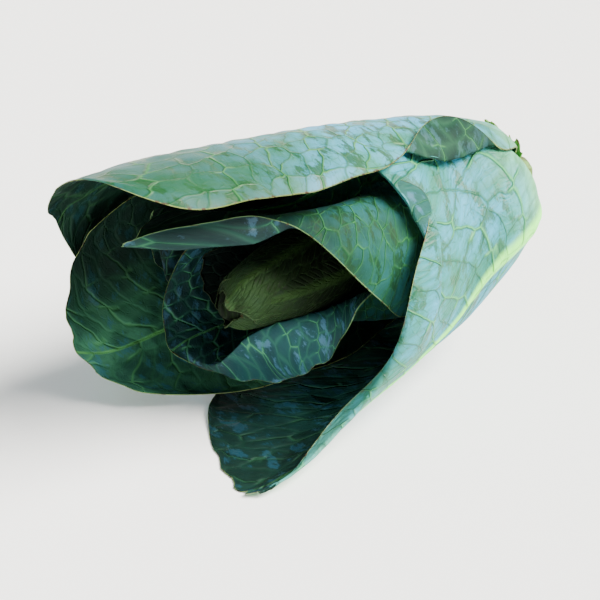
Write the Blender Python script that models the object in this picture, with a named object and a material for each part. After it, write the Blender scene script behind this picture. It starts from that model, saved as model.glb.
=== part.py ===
"""Pointed cabbage lying on its side with its wrapper leaves opened towards one end.

Run in Blender 4.5. Metres, +Z up, resting on z = 0. The stem end points to +X, the open end to -X.

The head has a bent axis from the cut stem to the open end. A point of a leaf is given in head
coordinates: the distance along the axis from the cut, the angle round the axis (0 is up, 90 is
towards -Y, 180 is down) and the radius from the axis. A leaf is a net of such points, one row for
each station from its foot to its tip and one column for each line from one margin to the other.
"""

import bpy
import numpy as np

MM = 0.001

# ---- driving dimensions, in millimetres ---------------------------------------------------------
CUT_X = 183.0  # where the head's axis starts, at the cut stem
SHIFT_X, SHIFT_Y = -45.1, -7.4  # moves the whole head so that the middle of its box is over the origin
AXIS = [  # distance from the cut, sideways, height
    (0, -18, 96), (20, -12, 90), (35, -7, 84.5), (47, -3, 80.5), (65, 2, 76),
    (85, 5, 73), (105, 5, 72), (150, 5, 72), (220, 5, 72), (310, 5, 72),
]
BLADE = 1.2  # thickness of a leaf blade
RIB_HEIGHT = 3.0  # how far the midrib of a wrapper leaf stands out of its outer face at the foot
INNER_RIB_HEIGHT = 1.6  # the same for the leaves further in
RIB_WIDTH = 5.0  # half the width of the midrib at the foot
FLOOR = 0.55  # lowest height of the middle of a blade, which presses the underside flat
STALK_START, STALK_END = 3.0, 34.0
STALK_RADII = [(3, 7.6), (4, 8.6), (12, 11), (34, 14)]  # distance from the cut, radius
HEART = [  # distance from the cut, radius, sideways, height
    (39, 3, -1, 83), (46, 22, 0, 81), (60, 28, 3, 76), (85, 29, 5, 72), (120, 27, 5, 71),
    (155, 22, 3, 71.5), (180, 17.5, -1, 73), (200, 13.5, -5, 75), (213, 9.5, -8, 76), (220, 3, -10, 76.5),
]


def row(stations, angles, radii):
    """One row of a leaf's net: station, angle and radius of each point across the leaf."""
    count = len(angles)
    stations = stations if isinstance(stations, list) else [stations] * count
    radii = radii if isinstance(radii, list) else [radii] * count
    return list(zip(stations, angles, radii))


# ---- the leaves: a note, where the columns lie across the leaf, which column is the midrib, the net
LEAVES = {}
# outermost leaf over the top and the far side; its near margin rolls back as a flap by the stem
# columns: near margin, crease, shoulder, midrib, far margin
LEAVES["top_leaf"] = dict(
    columns=[0, 0.1, 0.25, 0.55, 1],
    midrib=0.55,
    net=[
        row(14, [22, 16, 2, -55, -133], 13.2),
        row(19, [27, 21, 5, -52, -137], 25.5),
        row(26, [31, 25, 8, -52, -139], 37),
        row(42, [34, 28, 10, -52, -140], 49.5),
        row([60, 66, 68, 68, 66], [17, 33, 14, -52, -142], [66, 61.5, 60, 60, 60]),
        row([84, 93, 92, 92, 90], [14, 31, 12, -52, -143], [72, 67.5, 65.5, 65, 65]),
        row([113, 116, 116, 115, 112], [25, 19, 6, -50, -143], [71, 70, 69.5, 68.5, 69.5]),
        row(150, [30, 23, 8, -50, -140], [73.5, 73.5, 73, 72.5, 74]),
        row([190, 190, 192, 194, 188], [30, 23, 8, -48, -135], [77, 77.5, 77, 76, 77]),
        row([217, 221, 226, 230, 212], [28, 20.5, 7, -47, -125], [79, 79.5, 79.5, 78.5, 78]),
        row([241, 244, 248, 248, 220], [25, 18, 5, -50, -118], [80.5, 81, 80.5, 77.5, 78]),
        row([259, 261, 264, 259, 225], [13, 6, -7, -58, -111], [80.5, 80.5, 79, 76.5, 78]),
        row([269, 271.5, 273, 261, 227], [-9, -18, -36, -67, -105], [78.5, 78, 76, 76, 77.5]),
    ],
)
# wrapper round the camera side and underneath; its tip lies on the table
# columns: near margin, midrib, belly, far margin
LEAVES["right_leaf"] = dict(
    columns=[0, 0.5, 0.78, 1],
    midrib=0.5,
    net=[
        row(15, [35, 108, 175, 220], 13.4),
        row(19, [25, 103, 172, 218], [22.5, 25.5, 24, 24]),
        row(28, [14, 99, 172, 214], [34.5, 38.5, 35.5, 35.5]),
        row(50, [8, 99, 172, 213], [49.3, 52.5, 52, 50.5]),
        row([85, 82, 84, 85], [4, 107, 173, 214], [60.5, 61.5, 70.5, 67]),
        row([110, 104, 104, 110], [8, 118, 174, 215], [65, 66.5, 74, 72.5]),
        row([131, 120, 125, 130], [25, 123, 172, 214], [66.5, 70, 74.5, 74.5]),
        row([113, 133, 141, 148], [44, 128, 172, 213], [68, 73, 75, 75]),
        row([138, 148, 156, 163], [72, 131, 172, 211], [69.5, 76, 75.5, 75]),
        row([155, 166, 173, 179], [113, 134, 171, 207], [71, 79.5, 76.5, 74.5]),
        row([182, 195, 196, 196], [134, 138, 169, 199], [80, 86.5, 77, 73]),
        row([214, 220, 218, 214], [134, 140, 164, 188], [90, 91, 79, 71]),
        row([233, 243, 238, 229], [136, 143, 156, 170], [96, 90, 82, 73]),
    ],
)
# wrapper on the far side, open at the left end; its near margin lies low over the right leaf
# columns: upper margin, midrib, lower margin
LEAVES["left_leaf"] = dict(
    columns=[0, 0.58, 1],
    midrib=0.58,
    net=[
        row(24.5, [-50, -118, -170], 25),
        row(35, [-50, -120, -176], 36.5),
        row(60, [-45, -122, -181], 52),
        row(100, [-42, -124, -185], [61, 62, 61]),
        row(140, [-42, -126, -185], [67, 68, 66]),
        row([180, 183, 168], [-45, -127, -181], [69, 70.5, 65]),
        row([212, 220, 195], [-50, -128, -176], [69, 71, 65]),
        row([234, 250, 224], [-57, -127, -164], [68.5, 69.5, 65]),
        row([248, 266, 244], [-65, -122, -152], [67.5, 66.5, 64]),
    ],
)
# leaf arched over the heart; towards its tip the near margin is rolled outwards
# columns: near margin, fold, crest, hollow, midrib, far margin
LEAVES["hood_leaf"] = dict(
    columns=[0, 0.1, 0.22, 0.36, 0.62, 1],
    midrib=0.62,
    net=[
        row(31, [60, 54, 40, 15, -30, -110], 29.5),
        row(52, [78, 70, 48, 18, -30, -118], [44, 44, 44, 43.5, 43.5, 44]),
        row(85, [92, 82, 50, 18, -30, -122], [54.5, 54.5, 54.5, 47, 46, 54]),
        row(115, [99, 89, 46, 17, -30, -122], [58, 58.5, 58.5, 40, 40, 55.5]),
        row([136, 135, 132, 134, 135, 135], [101, 88, 43, 16, -30, -122], [57.5, 58, 58.5, 35, 35, 56]),
        row([150, 148, 148, 152, 155, 153], [88, 76, 40, 15, -30, -120], [57, 58, 57.5, 35, 34, 56]),
        row([168, 166, 166, 172, 176, 172], [66, 57, 34, 12, -32, -116], [57, 57.5, 56.5, 37, 38, 56]),
        row([187, 187, 187, 190, 196, 190], [37, 34, 27, 6, -33, -112], [58, 55.5, 54, 43, 44, 56]),
        row([205, 205, 204, 207, 212, 205], [23, 34, 18, 0, -34, -105], [60.5, 52.5, 52.5, 49, 50, 56]),
        row([233, 231, 226, 224, 219, 207], [16, 26, 12, -4, -34, -98], [60.5, 51.5, 52, 51.5, 53, 56]),
        row([256, 253, 246, 237, 224, 211], [13, 18, 8, -6, -32, -92], [58.5, 52.5, 52, 52.5, 53.5, 56]),
        row([271, 269, 259, 246, 229, 214], [11, 10, 4, -6, -30, -88], [56.5, 55.5, 54.5, 53.5, 53.5, 56]),
    ],
)
# leaf cupped under the heart; its near margin is folded outwards and down as a lip
# columns: lip, ridge, wall, midrib, far side, upper margin
LEAVES["cradle_leaf"] = dict(
    columns=[0, 0.2, 0.38, 0.58, 0.8, 1],
    midrib=0.58,
    net=[
        row(40, [75, 90, 140, 215, 258, 280], 33.5),
        row(62, [78, 94, 145, 216, 258, 281], [45, 45, 45, 45, 43.5, 43]),
        row(95, [82, 98, 150, 218, 260, 281], [49, 47, 47, 48.5, 47, 45]),
        row([146, 130, 125, 125, 125, 125], [86, 101, 155, 219, 260, 281], [47, 35, 39, 45, 45, 43]),
        row([162, 150, 150, 155, 155, 155], [98, 108, 162, 219, 260, 282], [49, 31, 36, 44, 44, 41]),
        row([171, 178, 183, 190, 185, 180], [130, 113, 172, 219, 258, 286], [51, 26, 36, 45, 44, 40]),
        row([179, 206, 208, 212, 203, 190], [138, 136, 182, 219, 255, 288], [52.5, 23, 38, 47, 46, 40]),
        row([186, 211, 214, 219, 211, 197], [145, 165, 196, 218, 252, 287], [52.5, 34, 45, 49, 47, 40.5]),
        row([192, 203, 212, 223, 216, 202], [148, 176, 196, 217, 249, 286], [51.5, 50, 50, 50, 48, 41]),
    ],
)
# small leaf on the far side of the heart
# columns: lower margin, midrib, upper margin
LEAVES["inner_leaf"] = dict(
    columns=[0, 0.5, 1],
    midrib=0.5,
    net=[
        row(50, [190, 240, 290], 35),
        row(72, [188, 240, 296], 41),
        row(110, [186, 242, 300], [37, 39, 37]),
        row(150, [190, 244, 300], [30, 35, 33]),
        row(180, [196, 246, 298], [28, 33, 31]),
        row([186, 199, 198], [208, 246, 289], [32, 32, 32]),
    ],
)

# ---- how finely each leaf is cut, and its waved edge ---------------------------------------------
# rows, columns to the midrib, columns past it, waves along the margin, depth of the nicks in the
# margin (share of the blade), height of the ruffle (mm), phase
CUTS = {
    "top_leaf": (34, 8, 6, 8.0, 0.007, 1.3, 0.4),
    "right_leaf": (34, 7, 7, 8.5, 0.007, 1.2, 1.9),
    "left_leaf": (30, 7, 6, 7.0, 0.011, 1.4, 0.9),
    "hood_leaf": (32, 9, 5, 8.0, 0.005, 0.9, 2.6),
    "cradle_leaf": (30, 8, 6, 7.5, 0.008, 0.9, 0.2),
    "inner_leaf": (16, 4, 4, 5.0, 0.006, 0.6, 1.2),
}
COLOURS = {
    "top_leaf": (0.34, 0.50, 0.42), "right_leaf": (0.36, 0.53, 0.42), "left_leaf": (0.05, 0.16, 0.09),
    "hood_leaf": (0.22, 0.38, 0.28), "cradle_leaf": (0.06, 0.18, 0.11), "inner_leaf": (0.05, 0.13, 0.07),
    "heart": (0.17, 0.24, 0.11), "stalk": (0.55, 0.60, 0.32),
}


def basis(knots, at):
    """Weights (len(at), len(knots)) of the natural cubic curve through points given at the knots."""
    knots = np.asarray(knots, float)
    at = np.asarray(at, float)
    count = len(knots)
    gap = np.diff(knots)
    left, right = np.eye(count), np.zeros((count, count))
    for i in range(1, count - 1):
        left[i, i - 1 : i + 2] = gap[i - 1], 2 * (gap[i - 1] + gap[i]), gap[i]
        right[i, i - 1 : i + 2] = 6 / gap[i - 1], -6 / gap[i - 1] - 6 / gap[i], 6 / gap[i]
    bend = np.linalg.solve(left, right)
    k = np.clip(np.searchsorted(knots, at, side="right") - 1, 0, count - 2)
    h = gap[k][:, None]
    a = (knots[k + 1] - at)[:, None] / h
    b = 1 - a
    one = np.eye(count)
    cubic = ((a**3 - a) * bend[k] + (b**3 - b) * bend[k + 1]) * h**2 / 6
    return a * one[k] + b * one[k + 1] + cubic


def place(points):
    """Head coordinates (station, angle in degrees, radius) of any shape (..., 3) to millimetres."""
    axis = np.array(AXIS, float)
    station, angle, radius = points[..., 0], np.radians(points[..., 1]), points[..., 2]
    centre = basis(axis[:, 0], station.ravel()) @ axis[:, 1:]
    side, height = centre[:, 0].reshape(station.shape), centre[:, 1].reshape(station.shape)
    return np.stack(
        [CUT_X - station, side - radius * np.sin(angle), height + radius * np.cos(angle)], -1
    )


def row_knots(net):
    """Places of the rows between 0 and 1, spaced by the mean travel from row to row."""
    travel = np.linalg.norm(np.diff(place(net), axis=0), axis=-1).mean(1)
    knots = np.concatenate([[0], np.cumsum(travel)])
    return knots / knots[-1]


def blade_points(leaf, u, v, ruffle):
    """Middle of the blade at places u along it and v across it (both (rows, columns)), millimetres.

    The net is read by natural cubic curves first along its columns, then across its rows; the
    ruffle is added to the radius.
    """
    net = np.array(leaf["net"], float)
    along = basis(row_knots(net), u.ravel())
    across = basis(leaf["columns"], v.ravel())
    points = np.einsum("pr,pc,rcd->pd", along, across, net).reshape(u.shape + (3,))
    points[..., 2] += ruffle
    points = place(points)
    points[..., 2] = np.maximum(points[..., 2], FLOOR)
    return points


def leaf_solid(name):
    """Closed shell of a leaf: inner face, outer face with the midrib standing out, and the rim."""
    leaf = LEAVES[name]
    rows, before, after, waves, nick, ruffle, phase = CUTS[name]
    middle = leaf["midrib"]
    u = np.linspace(0, 1, rows)[:, None]
    # width of the blade at each row, to give the midrib its width as a share
    across_all = np.linspace(0, 1, 25)[None, :] + 0 * u
    span = blade_points(leaf, u + 0 * across_all, across_all, 0)
    width = np.linalg.norm(np.diff(span, axis=1), axis=-1).sum(1)[:, None]
    half = RIB_WIDTH * (1 - 0.7 * u) / width
    share_before = np.linspace(0, 1, before)[None, :]
    share_after = np.linspace(0, 1, after)[None, :]
    v = np.concatenate(
        [(middle - half) * share_before, middle + 0 * u, middle + half + (1 - middle - half) * share_after], 1
    )
    # the margin: nicks pull it in, the ruffle lifts it; both fade out towards the foot and inwards
    ramp = np.clip((u - 0.25) / 0.35, 0, 1)
    turn = 2 * np.pi * waves * u + phase + 5 * np.round(v)
    edge = np.abs(2 * v - 1) ** 4
    v = middle + (v - middle) * (1 - nick * ramp * edge * (1 - np.cos(turn)))
    pulled = u * (1 - 0.6 * nick * u**6 * (1 - np.cos(2 * np.pi * 5 * v + phase)))
    lift = ruffle * ramp * edge * np.sin(turn * 0.5 + 1) + 0.5 * ruffle * u**8 * np.sin(9 * v + phase)
    step = 1e-4
    middle_face = blade_points(leaf, pulled, v, lift)
    along = blade_points(leaf, np.clip(pulled + step, 0, 1), v, lift)
    along -= blade_points(leaf, np.clip(pulled - step, 0, 1), v, lift)
    across = blade_points(leaf, pulled, np.clip(v + step, 0, 1), lift)
    across -= blade_points(leaf, pulled, np.clip(v - step, 0, 1), lift)
    normal = np.cross(along, across)
    normal /= np.linalg.norm(normal, axis=-1, keepdims=True)
    # the outer face looks away from the head's axis at the midrib
    centre_row = rows // 2
    probe = np.einsum("r,c,rcd->d", basis(row_knots(np.array(leaf["net"], float)), u[centre_row])[0],
                      basis(leaf["columns"], [middle])[0], np.array(leaf["net"], float))
    away = place(probe) - place(probe * np.array([1, 1, 0.5]))
    outward = 1.0 if normal[centre_row, before] @ away > 0 else -1.0
    normal *= outward
    rib = np.zeros_like(v)
    height = RIB_HEIGHT if name in ("top_leaf", "right_leaf") else INNER_RIB_HEIGHT
    rib[:, before] = height * (1 - u[:, 0]) ** 1.3
    inner = middle_face - normal * BLADE / 2
    outer = middle_face + normal * (BLADE / 2 + rib)[..., None]
    outer[..., 2] = np.maximum(outer[..., 2], 0)
    vertices = np.concatenate([inner.reshape(-1, 3), outer.reshape(-1, 3)])
    return vertices, shell_faces(rows, v.shape[1], outward > 0)


def shell_faces(rows, columns, straight):
    """Triangles of a closed plate from two grids of the same size, split alike on both faces."""
    index = np.arange(rows * columns).reshape(rows, columns)
    a, b, c, d = index[:-1, :-1], index[1:, :-1], index[1:, 1:], index[:-1, 1:]
    sheet = np.concatenate([np.stack([a, b, c], -1).reshape(-1, 3), np.stack([a, c, d], -1).reshape(-1, 3)])
    loop = np.concatenate([index[:-1, 0], index[-1, :-1], index[:0:-1, -1], index[0, :0:-1]])
    after = np.roll(loop, -1)
    top = rows * columns
    rim = np.concatenate([np.stack([loop, after + top, after], -1), np.stack([loop, loop + top, after + top], -1)])
    faces = np.concatenate([sheet[:, ::-1], sheet + top, rim[:, ::-1]])
    return faces if straight else faces[:, ::-1]


def tube_solid(rings):
    """Closed body from rings (count, sides, 3), with a middle point in each end."""
    count, sides = rings.shape[:2]
    index = np.arange(count * sides).reshape(count, sides)
    nxt = np.roll(index, -1, axis=1)
    a, b, c, d = index[:-1], index[1:], nxt[1:], nxt[:-1]
    start, end = count * sides, count * sides + 1
    faces = [
        np.stack([a, b, c], -1).reshape(-1, 3),
        np.stack([a, c, d], -1).reshape(-1, 3),
        np.stack([np.full(sides, start), index[0], nxt[0]], -1),
        np.stack([np.full(sides, end), nxt[-1], index[-1]], -1),
    ]
    vertices = np.concatenate([rings.reshape(-1, 3), rings[0].mean(0)[None], rings[-1].mean(0)[None]])
    return vertices, np.concatenate(faces)


def stalk_solid():
    """The cut stem: a round column along the head's axis, widening inwards."""
    table = np.array(STALK_RADII, float)
    station = np.array([STALK_START, 4.0, 8.0, 12.0, 20.0, 27.0, STALK_END])[:, None]
    radius = np.interp(station, table[:, 0], table[:, 1])
    angle = np.linspace(0, 360, 20, endpoint=False)[None, :]
    points = np.stack([station + 0 * angle, angle + 0 * station, radius + 0 * angle], -1)
    return tube_solid(place(points))


def heart_solid():
    """The closed heart: a pointed spindle, its section a little lobed by the leaves that wrap it."""
    table = np.array(HEART, float)
    station = np.linspace(table[0, 0], table[-1, 0], 22)
    radius, side, height = (basis(table[:, 0], station) @ table[:, 1:]).T[:, :, None]
    angle = np.radians(np.linspace(0, 360, 22, endpoint=False))[None, :]
    swirl = 1 + 0.035 * np.sin(2 * angle + station[:, None] / 40) + 0.02 * np.sin(5 * angle - station[:, None] / 25)
    radius = radius * swirl
    rings = np.stack([
        CUT_X - station[:, None] + 0 * angle, side - radius * np.sin(angle), height + radius * np.cos(angle)
    ], -1)
    return tube_solid(rings)


def material(name, colour):
    """A plain Principled material."""
    made = bpy.data.materials.new(name)
    made.use_nodes = True
    shader = made.node_tree.nodes["Principled BSDF"]
    shader.inputs["Base Color"].default_value = (*colour, 1)
    shader.inputs["Roughness"].default_value = 0.5
    return made


def add_object(name, vertices, faces):
    """One named object in metres with its own material."""
    moved = (vertices + np.array([SHIFT_X, SHIFT_Y, 0])) * MM
    mesh = bpy.data.meshes.new(name)
    mesh.from_pydata(moved.tolist(), [], faces.tolist())
    mesh.update()
    thing = bpy.data.objects.new(name, mesh)
    bpy.context.scene.collection.objects.link(thing)
    mesh.materials.append(material(name, COLOURS[name]))


for old in list(bpy.data.objects):
    bpy.data.objects.remove(old, do_unlink=True)
add_object("stalk", *stalk_solid())
add_object("heart", *heart_solid())
for leaf_name in ("inner_leaf", "cradle_leaf", "hood_leaf", "left_leaf", "right_leaf", "top_leaf"):
    add_object(leaf_name, *leaf_solid(leaf_name))
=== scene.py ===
# %% [markdown]
# # A pointed cabbage lying on its side
# The head lies on a pale table with its stem end to the right. Four big wrapper leaves stand open
# towards the left, and between them a leaf hoods the heart, one cups it from below and a small one
# closes its far side.
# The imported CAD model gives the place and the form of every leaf. This script loads it, puts a finer
# leaf in the place of each one, with veins, a rim and a waxy skin, and sets up table, light and camera.

import bpy
import numpy as np
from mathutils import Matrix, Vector


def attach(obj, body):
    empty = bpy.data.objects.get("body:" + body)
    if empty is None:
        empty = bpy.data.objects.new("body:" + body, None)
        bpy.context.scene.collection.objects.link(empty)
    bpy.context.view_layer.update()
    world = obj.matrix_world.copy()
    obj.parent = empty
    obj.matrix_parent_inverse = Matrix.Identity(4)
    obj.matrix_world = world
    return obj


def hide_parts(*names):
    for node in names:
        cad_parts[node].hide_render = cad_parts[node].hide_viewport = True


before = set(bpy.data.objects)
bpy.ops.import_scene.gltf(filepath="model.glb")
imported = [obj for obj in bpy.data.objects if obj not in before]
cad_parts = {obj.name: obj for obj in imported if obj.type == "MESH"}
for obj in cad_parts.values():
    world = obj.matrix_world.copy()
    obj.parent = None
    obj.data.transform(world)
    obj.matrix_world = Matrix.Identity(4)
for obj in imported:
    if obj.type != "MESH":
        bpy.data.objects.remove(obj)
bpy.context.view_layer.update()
print("nodes", sorted(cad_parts))

# %% [markdown]
# ## Coordinates that follow the head
# A cabbage leaf is a curved sheet wrapped round a slightly bent axis, so a point is easiest to give as
# a station along that axis from the cut stem, an angle round it (0 is up, 90 is towards the camera)
# and a radius. Plain x, y and z would hide the wrap. The axis and every leaf are read by natural cubic
# curves through a few points, which bend smoothly and pass through each point, as a stiff leaf does.

# %% Axis and smooth reading
MM = 0.001
CUT_X = 183.0  # mm, x of the cut stem before the head is centred
SHIFT = np.array([-45.1, -7.4, 0.0])  # mm, centres the head over the origin
AXIS = np.array([  # station, sideways, height in mm
    (0, -18, 96), (20, -12, 90), (35, -7, 84.5), (47, -3, 80.5), (65, 2, 76),
    (85, 5, 73), (105, 5, 72), (150, 5, 72), (220, 5, 72), (310, 5, 72),
], float)


def smooth_weights(knots, at):
    """Weights of the natural cubic curve: each value is a sum of the knots' values times these.

    Between two knots the curve is the straight line plus (a^3 - a) and (b^3 - b) times the bend at
    either knot, where a and b are the shares of the gap; the bends solve the equations that make the
    slope continuous, with no bend at the two ends.
    """
    knots, at = np.asarray(knots, float), np.asarray(at, float)
    count, gap = len(knots), np.diff(np.asarray(knots, float))
    left, right = np.eye(count), np.zeros((count, count))
    for i in range(1, count - 1):
        left[i, i - 1:i + 2] = gap[i - 1], 2 * (gap[i - 1] + gap[i]), gap[i]
        right[i, i - 1:i + 2] = 6 / gap[i - 1], -6 / gap[i - 1] - 6 / gap[i], 6 / gap[i]
    bend = np.linalg.solve(left, right)
    k = np.clip(np.searchsorted(knots, at, side="right") - 1, 0, count - 2)
    h = gap[k][:, None]
    a = (knots[k + 1] - at)[:, None] / h
    b = 1 - a
    one = np.eye(count)
    return a * one[k] + b * one[k + 1] + ((a**3 - a) * bend[k] + (b**3 - b) * bend[k + 1]) * h**2 / 6


def place(points):
    """Head coordinates to millimetres: the axis point at that station, plus the radius turned by the
    angle: sideways by minus its sine, upwards by its cosine."""
    station, angle, radius = points[..., 0], np.radians(points[..., 1]), points[..., 2]
    centre = smooth_weights(AXIS[:, 0], station.ravel()) @ AXIS[:, 1:]
    side, height = centre[:, 0].reshape(station.shape), centre[:, 1].reshape(station.shape)
    made = np.stack([CUT_X - station, side - radius * np.sin(angle), height + radius * np.cos(angle)], -1)
    return made + SHIFT


# %% [markdown]
# ## The form of each leaf
# Each leaf is a net: one row of points for each station from the foot to the tip, and one column for
# each line from one margin to the other, such as the midrib or a fold. These are the same points that
# the CAD solids were made from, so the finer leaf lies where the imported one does. Only the right leaf's
# near margin dips 4 mm further beside the stalk, so that the stalk shows.

# %% Nets of the six leaves


def row(stations, angles, radii):
    """One row of a net; a single station or radius counts for the whole row."""
    count = len(angles)
    stations = stations if isinstance(stations, list) else [stations] * count
    radii = radii if isinstance(radii, list) else [radii] * count
    return list(zip(stations, angles, radii))


LEAVES = {
    # columns: near margin, crease, shoulder, midrib, far margin
    "top_leaf": dict(columns=[0, 0.1, 0.25, 0.55, 1], midrib=0.55, net=[
        row(14, [22, 16, 2, -55, -133], 13.2),
        row(19, [27, 21, 5, -52, -137], 25.5),
        row(26, [31, 25, 8, -52, -139], 37),
        row(42, [34, 28, 10, -52, -140], 49.5),
        row([60, 66, 68, 68, 66], [17, 33, 14, -52, -142], [66, 61.5, 60, 60, 60]),
        row([84, 93, 92, 92, 90], [14, 31, 12, -52, -143], [72, 67.5, 65.5, 65, 65]),
        row([113, 116, 116, 115, 112], [25, 19, 6, -50, -143], [71, 70, 69.5, 68.5, 69.5]),
        row(150, [30, 23, 8, -50, -140], [73.5, 73.5, 73, 72.5, 74]),
        row([190, 190, 192, 194, 188], [30, 23, 8, -48, -135], [77, 77.5, 77, 76, 77]),
        row([217, 221, 226, 230, 212], [28, 20.5, 7, -47, -125], [79, 79.5, 79.5, 78.5, 78]),
        row([241, 244, 248, 248, 220], [25, 18, 5, -50, -118], [80.5, 81, 80.5, 77.5, 78]),
        row([259, 261, 264, 259, 225], [13, 6, -7, -58, -111], [80.5, 80.5, 79, 76.5, 78]),
        row([269, 271.5, 273, 261, 227], [-9, -18, -36, -67, -105], [78.5, 78, 76, 76, 77.5]),
    ]),
    # columns: near margin, midrib, belly, far margin
    "right_leaf": dict(columns=[0, 0.5, 0.78, 1], midrib=0.5, net=[
        row(15, [35, 108, 175, 220], 13.4),
        row(19, [25, 103, 172, 218], [18.5, 25.5, 24, 24]),
        row(28, [14, 99, 172, 214], [30.5, 38.5, 35.5, 35.5]),
        row(50, [8, 99, 172, 213], [49.3, 52.5, 52, 50.5]),
        row([85, 82, 84, 85], [4, 107, 173, 214], [60.5, 61.5, 70.5, 67]),
        row([110, 104, 104, 110], [8, 118, 174, 215], [65, 66.5, 74, 72.5]),
        row([131, 120, 125, 130], [25, 123, 172, 214], [66.5, 70, 74.5, 74.5]),
        row([113, 133, 141, 148], [44, 128, 172, 213], [68, 73, 75, 75]),
        row([138, 148, 156, 163], [72, 131, 172, 211], [69.5, 76, 75.5, 75]),
        row([155, 166, 173, 179], [113, 134, 171, 207], [71, 79.5, 76.5, 74.5]),
        row([182, 195, 196, 196], [134, 138, 169, 199], [80, 86.5, 77, 73]),
        row([214, 220, 218, 214], [134, 140, 164, 188], [90, 91, 79, 71]),
        row([233, 243, 238, 229], [136, 143, 156, 170], [96, 90, 82, 73]),
    ]),
    # columns: upper margin, midrib, lower margin
    "left_leaf": dict(columns=[0, 0.58, 1], midrib=0.58, net=[
        row(24.5, [-50, -118, -170], 25),
        row(35, [-50, -120, -176], 36.5),
        row(60, [-45, -122, -181], 52),
        row(100, [-42, -124, -185], [61, 62, 61]),
        row(140, [-42, -126, -185], [67, 68, 66]),
        row([180, 183, 168], [-45, -127, -181], [69, 70.5, 65]),
        row([212, 220, 195], [-50, -128, -176], [69, 71, 65]),
        row([234, 250, 224], [-57, -127, -164], [68.5, 69.5, 65]),
        row([248, 266, 244], [-65, -122, -152], [67.5, 66.5, 64]),
    ]),
    # columns: near margin, fold, crest, hollow, midrib, far margin
    "hood_leaf": dict(columns=[0, 0.1, 0.22, 0.36, 0.62, 1], midrib=0.62, net=[
        row(31, [60, 54, 40, 15, -30, -110], 29.5),
        row(52, [78, 70, 48, 18, -30, -118], [44, 44, 44, 43.5, 43.5, 44]),
        row(85, [92, 82, 50, 18, -30, -122], [54.5, 54.5, 54.5, 47, 46, 54]),
        row(115, [99, 89, 46, 17, -30, -122], [58, 58.5, 58.5, 40, 40, 55.5]),
        row([136, 135, 132, 134, 135, 135], [101, 88, 43, 16, -30, -122], [57.5, 58, 58.5, 35, 35, 56]),
        row([150, 148, 148, 152, 155, 153], [88, 76, 40, 15, -30, -120], [57, 58, 57.5, 35, 34, 56]),
        row([168, 166, 166, 172, 176, 172], [66, 57, 34, 12, -32, -116], [57, 57.5, 56.5, 37, 38, 56]),
        row([187, 187, 187, 190, 196, 190], [37, 34, 27, 6, -33, -112], [58, 55.5, 54, 43, 44, 56]),
        row([205, 205, 204, 207, 212, 205], [23, 34, 18, 0, -34, -105], [60.5, 52.5, 52.5, 49, 50, 56]),
        row([233, 231, 226, 224, 219, 207], [16, 26, 12, -4, -34, -98], [60.5, 51.5, 52, 51.5, 53, 56]),
        row([256, 253, 246, 237, 224, 211], [13, 18, 8, -6, -32, -92], [58.5, 52.5, 52, 52.5, 53.5, 56]),
        row([271, 269, 259, 246, 229, 214], [11, 10, 4, -6, -30, -88], [56.5, 55.5, 54.5, 53.5, 53.5, 56]),
    ]),
    # columns: lip, ridge, wall, midrib, far side, upper margin
    "cradle_leaf": dict(columns=[0, 0.2, 0.38, 0.58, 0.8, 1], midrib=0.58, net=[
        row(40, [75, 90, 140, 215, 258, 280], 33.5),
        row(62, [78, 94, 145, 216, 258, 281], [45, 45, 45, 45, 43.5, 43]),
        row(95, [82, 98, 150, 218, 260, 281], [49, 47, 47, 48.5, 47, 45]),
        row([146, 130, 125, 125, 125, 125], [86, 101, 155, 219, 260, 281], [47, 35, 39, 45, 45, 43]),
        row([162, 150, 150, 155, 155, 155], [98, 108, 162, 219, 260, 282], [49, 31, 36, 44, 44, 41]),
        row([171, 178, 183, 190, 185, 180], [130, 113, 172, 219, 258, 286], [51, 26, 36, 45, 44, 40]),
        row([179, 206, 208, 212, 203, 190], [138, 136, 182, 219, 255, 288], [52.5, 23, 38, 47, 46, 40]),
        row([186, 211, 214, 219, 211, 197], [145, 165, 196, 218, 252, 287], [52.5, 34, 45, 49, 47, 40.5]),
        row([192, 203, 212, 223, 216, 202], [148, 176, 196, 217, 249, 286], [51.5, 50, 50, 50, 48, 41]),
    ]),
    # columns: lower margin, midrib, upper margin
    "inner_leaf": dict(columns=[0, 0.5, 1], midrib=0.5, net=[
        row(50, [190, 240, 290], 35),
        row(72, [188, 240, 296], 41),
        row(110, [186, 242, 300], [37, 39, 37]),
        row(150, [190, 244, 300], [30, 35, 33]),
        row(180, [196, 246, 298], [28, 33, 31]),
        row([186, 199, 198], [208, 246, 289], [32, 32, 32]),
    ]),
}
for name, leaf in LEAVES.items():
    leaf["net"] = np.array(leaf["net"], float)
    travel = np.linalg.norm(np.diff(place(leaf["net"]), axis=0), axis=-1).mean(1)
    leaf["rows"] = np.concatenate([[0], np.cumsum(travel)]) / travel.sum()
    print(f"{name}: {leaf['net'].shape[0]} rows, {travel.sum():.0f} mm from foot to tip")


# %% [markdown]
# ## A blade read from its net
# The blade is a surface over two numbers, u from foot to tip and v from margin to margin. A lift is
# added to the radius, for the waves of the blade. The underside is pressed flat where it would pass
# through the table, as the weight of the head does.

# %% Blade surface
FLOOR = 0.55  # mm, lowest height of the middle of a blade
INNER_FLOOR, RIM_FLOOR, OUTER_FLOOR = 0.3, 0.15, 0.02  # mm, the same for its faces and its rim


def shares(rows, columns):
    """Two grids that run evenly from 0 to 1, the first one down the rows, the second one across."""
    return np.meshgrid(np.linspace(0, 1, rows), np.linspace(0, 1, columns), indexing="ij")


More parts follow.
